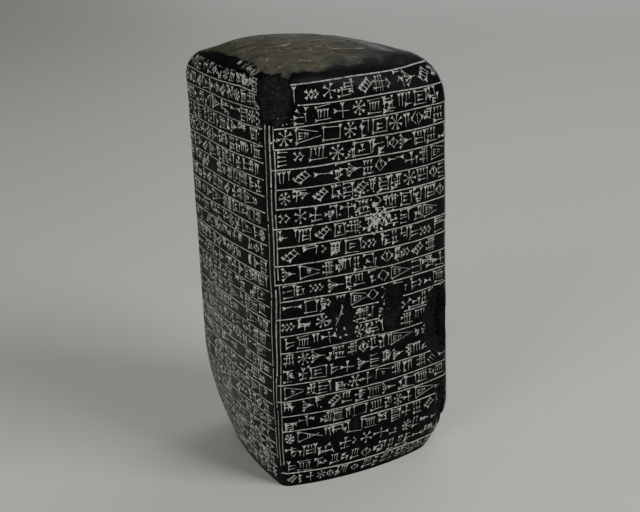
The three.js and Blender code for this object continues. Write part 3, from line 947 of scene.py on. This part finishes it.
def add_underside(skin, foot_s):
    """Adds the flat underside inside the panels' foot points."""
    foot_s = np.array(foot_s)
    edge, normals = wall(foot_s, np.zeros(len(foot_s)))
    edge = wall_surface(edge, normals, np.zeros(len(edge)))
    edge[:, 2] = 0
    points = np.vstack([edge, [(0, 0, 0)]])
    count = len(edge)
    triangles = np.array([(count, (i + 1) % count, i) for i in range(count)])
    uv = (points[:, :2] + (WIDTH * 1.7, RIM + 3 * UV_GAP + DEPTH * 0.6)) * UV_SCALE
    skin.add(points, triangles, np.zeros(count, bool), uv, np.zeros(len(points)))


def build_stone():
    """Makes the whole stone, and gives it back with the middle that the frame is centred on."""
    skin = Skin()
    foot_s, rim_s = [], []
    for side in range(4):
        low, high = add_side(skin, side)
        foot_s.extend(low)
        rim_s.extend(high)
    add_top(skin, rim_s)
    add_underside(skin, foot_s)
    points, triangles, filled, uvs, worn = skin.joined()
    middle = (points.max(0) + points.min(0)) / 2
    points = (points - (middle[0], middle[1], 0)) * MM
    mesh = bpy.data.meshes.new("inscribed_stone")
    mesh.from_pydata(points.tolist(), [], triangles.tolist())
    mesh.polygons.foreach_set("material_index", filled.astype(np.int32))
    layer = mesh.uv_layers.new(name="OFBake")
    layer.data.foreach_set("uv", uvs.ravel())
    wear = mesh.attributes.new("worn", "FLOAT", "POINT")
    wear.data.foreach_set("value", worn.astype(np.float32))
    bm = bmesh.new()
    bm.from_mesh(mesh)
    bmesh.ops.remove_doubles(bm, verts=bm.verts, dist=2e-7)
    bmesh.ops.recalc_face_normals(bm, faces=bm.faces)
    bm.to_mesh(mesh)
    bm.free()
    mesh.shade_smooth()
    mesh.set_sharp_from_angle(angle=radians(26))
    return add_object("inscribed_stone", mesh), middle


stone, MIDDLE = build_stone()


class Shader:
    """A procedural material, put together from short calls."""

    def __init__(self, name):
        self.material = bpy.data.materials.new(name)
        self.material.use_nodes = True
        self.tree = self.material.node_tree
        self.surface = self.tree.nodes["Principled BSDF"]
        self.object_place = self.add("ShaderNodeTexCoord").outputs["Object"]
        self.x, self.y, self.z = self.axes(self.object_place)
        normal = self.add("ShaderNodeNewGeometry").outputs["Normal"]
        self.up = self.axes(normal)[2]

    def add(self, kind, **inputs):
        """A node with some of its inputs wired or set. A _ stands for the space in an input's name."""
        node = self.tree.nodes.new(kind)
        for name, source in inputs.items():
            self.wire(source, node.inputs[name.replace("_", " ")])
        return node

    def wire(self, source, socket):
        if isinstance(source, bpy.types.NodeSocket):
            self.tree.links.new(source, socket)
        else:
            socket.default_value = source

    def axes(self, vector):
        node = self.add("ShaderNodeSeparateXYZ", Vector=vector)
        return [node.outputs[name] for name in "XYZ"]

    def noise(self, scale, detail=3.0, roughness=0.55, stretch=None, distortion=0.0):
        """Noise with features about 1/scale metres across."""
        place = self.object_place
        if stretch:
            place = self.add("ShaderNodeMapping", Vector=place, Scale=stretch).outputs["Vector"]
        node = self.add("ShaderNodeTexNoise", Vector=place, Scale=scale, Detail=detail)
        self.wire(roughness, node.inputs["Roughness"])
        self.wire(distortion, node.inputs["Distortion"])
        return node.outputs["Fac"]

    def ramp(self, value, low, high, out_low=0.0, out_high=1.0):
        """A smooth run from out_low to out_high as the value goes from low to high."""
        node = self.add("ShaderNodeMapRange", Value=value, From_Min=low, From_Max=high, To_Min=out_low)
        self.wire(out_high, node.inputs["To Max"])
        node.interpolation_type = "SMOOTHSTEP"
        return node.outputs["Result"]

    def plus(self, first, *others):
        return self.combine("ADD", first, *others)

    def times(self, first, *others):
        return self.combine("MULTIPLY", first, *others)

    def combine(self, kind, first, *others):
        """One value with the others added to it, multiplied into it or taken from it in turn."""
        for other in others:
            node = self.add("ShaderNodeMath")
            node.operation = kind
            self.wire(first, node.inputs[0])
            self.wire(other, node.inputs[1])
            first = node.outputs[0]
        return first

    def mix(self, share, first, second):
        node = self.add("ShaderNodeMix")
        node.data_type = "RGBA"
        for name, source in (("Factor_Float", share), ("A_Color", first), ("B_Color", second)):
            socket = next(i for i in node.inputs if i.identifier == name)
            self.wire(source if not isinstance(source, tuple) else (*source, 1.0), socket)
        return next(o for o in node.outputs if o.identifier == "Result_Color")

    def distance(self, place):
        node = self.add("ShaderNodeVectorMath")
        node.operation = "DISTANCE"
        self.wire(self.object_place, node.inputs[0])
        self.wire(place, node.inputs[1])
        return node.outputs["Value"]

    def attribute(self, name):
        node = self.add("ShaderNodeAttribute")
        node.attribute_name = name
        return node.outputs["Fac"]

    def bump(self, height, strength, distance, onto=None):
        node = self.add("ShaderNodeBump", Height=height, Strength=strength, Distance=distance)
        if onto:
            self.wire(onto, node.inputs["Normal"])
        return node.outputs["Normal"]

    def finish(self, colour, roughness, normal, specular):
        self.wire(colour, self.surface.inputs["Base Color"])
        self.wire(roughness, self.surface.inputs["Roughness"])
        self.wire(normal, self.surface.inputs["Normal"])
        self.surface.inputs["Specular IOR Level"].default_value = specular
        return self.material


BLACK = (0.0014, 0.0014, 0.0015)
CHARCOAL = (0.0038, 0.0038, 0.0037)
FLECK = (0.05, 0.05, 0.045)
SCRATCH = (0.07, 0.07, 0.064)
PIT_DARK = (0.0045, 0.0045, 0.0048)
PIT_GREY = (0.0115, 0.0115, 0.0112)
CRUMB = (0.075, 0.075, 0.069)
RUBBED_GREY = (0.34, 0.34, 0.31)
# Painted sheen on the lower part of the narrow side
PAINTED_SIDE_SHEEN = (0.046, 0.048, 0.042)
# Dust and painted sheen on the top: partly dust, partly light glancing off the upward-facing stone
DUST_AND_SHEEN = (0.074, 0.073, 0.051)
DUST_AND_SHEEN_DARK = (0.038, 0.0375, 0.028)
DUST_AND_SHEEN_STREAK = (0.13, 0.127, 0.098)
# Painted highlight along the rim
RIM_PAINTED_HIGHLIGHT = (0.042, 0.043, 0.044)
PALE = (0.43, 0.43, 0.4)
PALE_DIM = (0.22, 0.22, 0.205)
PALE_FADED = (0.06, 0.06, 0.056)
PALE_FAR = (0.1, 0.1, 0.09)
PALE_GONE = (0.025, 0.025, 0.025)
TOP_LINE = (0.17, 0.165, 0.122)
FLOOR_PALE = (0.62, 0.61, 0.57)
FLOOR_REACH = 4.0
WORLD_GREY = (0.55, 0.55, 0.54)
WORLD_STRENGTH = 0.16
STONE_SHEEN = 0.06
FILL_SHEEN = 0.15
FILL_ROUGHNESS = 0.86

# Pale rubbed places along the rim by the front left edge: place and reach, in metres
RUBBED = [
    ((-0.0482, -0.0155, 0.2138), 0.0024),
    ((-0.0486, -0.022, 0.2134), 0.0032),
    ((-0.049, -0.0285, 0.2128), 0.0036),
    ((-0.0495, -0.0345, 0.2122), 0.0036),
]


def dust_and_sheen_top(shader):
    """How much grey dust and painted sheen the stone gets: most on top, broken up along the rim, and
    less of it over the left edge and towards the right."""
    ragged = shader.ramp(shader.noise(110, 5, 0.65), 0.3, 0.7, -0.06, 0.06)
    patchy = shader.ramp(shader.noise(38, 4, 0.6), 0.3, 0.7, -0.06, 0.06)
    left = shader.ramp(shader.x, -0.049, -0.0445, -0.25, 0.0)
    right = shader.ramp(shader.x, -0.035, 0.046, 0.05, -0.14)
    flat = shader.ramp(shader.plus(shader.up, ragged, patchy, left, right), 0.79, 0.92)
    high = shader.ramp(shader.z, 0.2, 0.206)
    across = shader.plus(shader.x, shader.times(patchy, 0.1))
    thinner = shader.ramp(across, -0.004, 0.034, 1.0, 0.16)
    return shader.times(flat, high, thinner)


def painted_side_sheen(shader):
    """A painted sheen: dull grey over the lower part of the narrow side, strongest towards its far
    edge, standing in for pale surroundings reflected at a glancing angle.
    """
    left = shader.ramp(shader.x, -0.044, -0.05)
    low = shader.ramp(shader.z, 0.128, 0.07)
    far = shader.ramp(shader.y, -0.05, 0.005)
    patchy = shader.ramp(shader.noise(70, 4), 0.25, 0.7, 0.5, 1.0)
    return shader.times(left, low, far, patchy)


def stone_material():
    """Near-black grained stone with greyer breaks, a painted sheen on the narrow side, dust with
    painted sheen on the top and a painted highlight along the rim.
    """
    shader = Shader("dark_stone")
    colour = shader.mix(shader.ramp(shader.noise(55, 4), 0.35, 0.7), BLACK, CHARCOAL)
    fine = shader.noise(1100, 2)
    colour = shader.mix(shader.ramp(fine, 0.64, 0.74, 0.0, 0.5), colour, FLECK)
    streaks = shader.noise(260, 3, 0.6, (1.0, 1.0, 0.12))
    colour = shader.mix(shader.ramp(streaks, 0.68, 0.76, 0.0, 0.35), colour, SCRATCH)
    # Painted sheen: the lower narrow side is greyed where the stone would glance back its pale
    # surroundings.
    colour = shader.mix(painted_side_sheen(shader), colour, PAINTED_SIDE_SHEEN)
    broken = shader.ramp(shader.attribute("worn"), 0.25, 1.2)
    pit = shader.mix(shader.ramp(shader.noise(330, 4, 0.65), 0.4, 0.68), PIT_DARK, PIT_GREY)
    pit = shader.mix(shader.ramp(shader.noise(760, 3, 0.7), 0.58, 0.72, 0.0, 0.6), pit, CRUMB)
    colour = shader.mix(broken, colour, pit)
    rubbed = shader.ramp(shader.noise(330, 4, 0.7), 0.44, 0.6)
    for place, reach in RUBBED:
        near = shader.ramp(shader.distance(place), reach * 0.4, reach, 0.9, 0.0)
        colour = shader.mix(shader.times(near, rubbed), colour, RUBBED_GREY)
    # Dust with painted sheen on the top: the grey-olive stands partly for dust and partly for light
    # glancing off the upward-facing stone.
    dust_and_sheen_share = dust_and_sheen_top(shader)
    dust_and_sheen_colour = shader.mix(shader.ramp(shader.noise(150, 6, 0.7), 0.3, 0.62), DUST_AND_SHEEN_DARK, DUST_AND_SHEEN)
    long_streaks = shader.noise(240, 4, 0.65, (0.22, 1.0, 1.0), 0.4)
    dust_and_sheen_colour = shader.mix(shader.ramp(long_streaks, 0.56, 0.7, 0.0, 0.7), dust_and_sheen_colour, DUST_AND_SHEEN_STREAK)
    colour = shader.mix(dust_and_sheen_share, colour, dust_and_sheen_colour)
    # Painted highlight: a pale grey band where the top's dust and sheen meet the black sides, standing
    # in for light caught on the rim's ridge, kept off the left edge.
    away_from_left = shader.ramp(shader.x, -0.044, -0.03)
    edge = shader.times(dust_and_sheen_share, shader.combine("SUBTRACT", 1.0, dust_and_sheen_share), away_from_left, 2.2)
    colour = shader.mix(edge, colour, RIM_PAINTED_HIGHLIGHT)
    rough = shader.ramp(shader.noise(90, 3), 0.3, 0.7, 0.33, 0.5)
    duller = shader.times(shader.plus(broken, dust_and_sheen_share), 0.3)
    rough = shader.plus(rough, duller)
    grain = shader.bump(fine, 0.25, 0.00012)
    grain = shader.bump(shader.noise(240, 4, 0.6), 0.35, 0.0005, grain)
    grain = shader.bump(streaks, 0.2, 0.0003, grain)
    return shader.finish(colour, rough, grain, STONE_SHEEN)


def fill_material():
    """Pale filling in the cuts, dimmer and gone in places, and on the top dusty, mixed with the top's
    colour of dust and painted sheen.
    """
    shader = Shader("pale_fill")
    colour = shader.mix(shader.ramp(shader.noise(650, 3, 0.6), 0.3, 0.65), PALE_DIM, PALE)
    faded = shader.ramp(shader.noise(38, 5, 0.6), 0.56, 0.76, 0.0, 0.45)
    colour = shader.mix(faded, colour, PALE_FADED)
    gone = shader.ramp(shader.noise(330, 3, 0.6), 0.6, 0.7, 0.0, 0.75)
    colour = shader.mix(gone, colour, PALE_GONE)
    far = shader.ramp(shader.y, -0.03, 0.04, 0.0, 0.12)
    colour = shader.mix(far, colour, PALE_FAR)
    # On the top the filling takes a pale line colour mixed with the top's dust and painted sheen.
    top = shader.ramp(shader.z, 0.2085, 0.2115)
    worn_line = shader.mix(shader.ramp(shader.noise(130, 4, 0.6), 0.4, 0.62), TOP_LINE, DUST_AND_SHEEN)
    colour = shader.mix(top, colour, worn_line)
    grain = shader.bump(shader.noise(900, 3), 0.4, 0.0002)
    return shader.finish(colour, FILL_ROUGHNESS, grain, FILL_SHEEN)


stone.data.materials.append(stone_material())
stone.data.materials.append(fill_material())
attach(stone, "root")
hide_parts("stele")


def add_camera():
    """The camera looks along the photograph's direction, moved sideways and up so that the middle of
    the stone's foot falls on its own pixel."""
    facing = Matrix.Identity(4)
    for angle, axis in ((AZIMUTH, "Z"), (90 - ELEVATION, "X"), (ROLL, "Z")):
        facing = facing @ Matrix.Rotation(radians(angle), 4, axis)
    aside = (FRAME_PX[0] / 2 - BASE_PX[0]) / FOCAL_PX * DISTANCE
    above = (BASE_PX[1] - FRAME_PX[1] / 2) / FOCAL_PX * DISTANCE
    spot = facing @ Vector((aside, above, DISTANCE)) - Vector((*MIDDLE[:2], 0))
    data = bpy.data.cameras.new("camera")
    data.sensor_width = SENSOR
    data.lens = FOCAL_PX * SENSOR / FRAME_PX[0]
    camera = add_object("camera", data)
    camera.matrix_world = Matrix.Translation(spot * MM) @ facing
    bpy.context.scene.camera = camera


def add_floor():
    mesh = bpy.data.meshes.new("floor")
    corners = [(x * FLOOR_REACH, y * FLOOR_REACH, 0) for x, y in EDGE_SIGNS]
    mesh.from_pydata(corners, [], [(0, 1, 2, 3)])
    plain = bpy.data.materials.new("floor")
    plain.use_nodes = True
    shader = plain.node_tree.nodes["Principled BSDF"]
    shader.inputs["Base Color"].default_value = (*FLOOR_PALE, 1)
    shader.inputs["Roughness"].default_value = 0.7
    mesh.materials.append(plain)
    add_object("floor", mesh)


# Name, place, what the light faces, size and power
LIGHTS = [
    ("key", (0.7, -1.1, 0.95), (0, 0, 0.1), (0.8, 0.8), 19),
    ("side", (-1.4, -0.65, 0.42), (0, 0, 0.12), (0.7, 0.6), 15),
    ("back", (1.8, 1.8, 0.5), (0, 0, 0.12), (2.4, 0.9), 12),
    ("top", (0.6, 0.4, 1.35), (0, 0, 0.2), (0.7, 0.7), 4),
]


def add_light(name, place, target, size, power):
    data = bpy.data.lights.new(name, "AREA")
    data.shape = "RECTANGLE"
    data.size, data.size_y = size
    data.energy = power
    light = add_object(name, data)
    light.location = place
    light.rotation_euler = (Vector(target) - Vector(place)).to_track_quat("-Z", "Y").to_euler()


def add_world():
    world = bpy.data.worlds.new("world")
    bpy.context.scene.world = world
    world.use_nodes = True
    background = world.node_tree.nodes["Background"]
    background.inputs["Color"].default_value = (*WORLD_GREY, 1)
    background.inputs["Strength"].default_value = WORLD_STRENGTH


add_camera()
add_floor()
for light in LIGHTS:
    add_light(*light)
add_world()
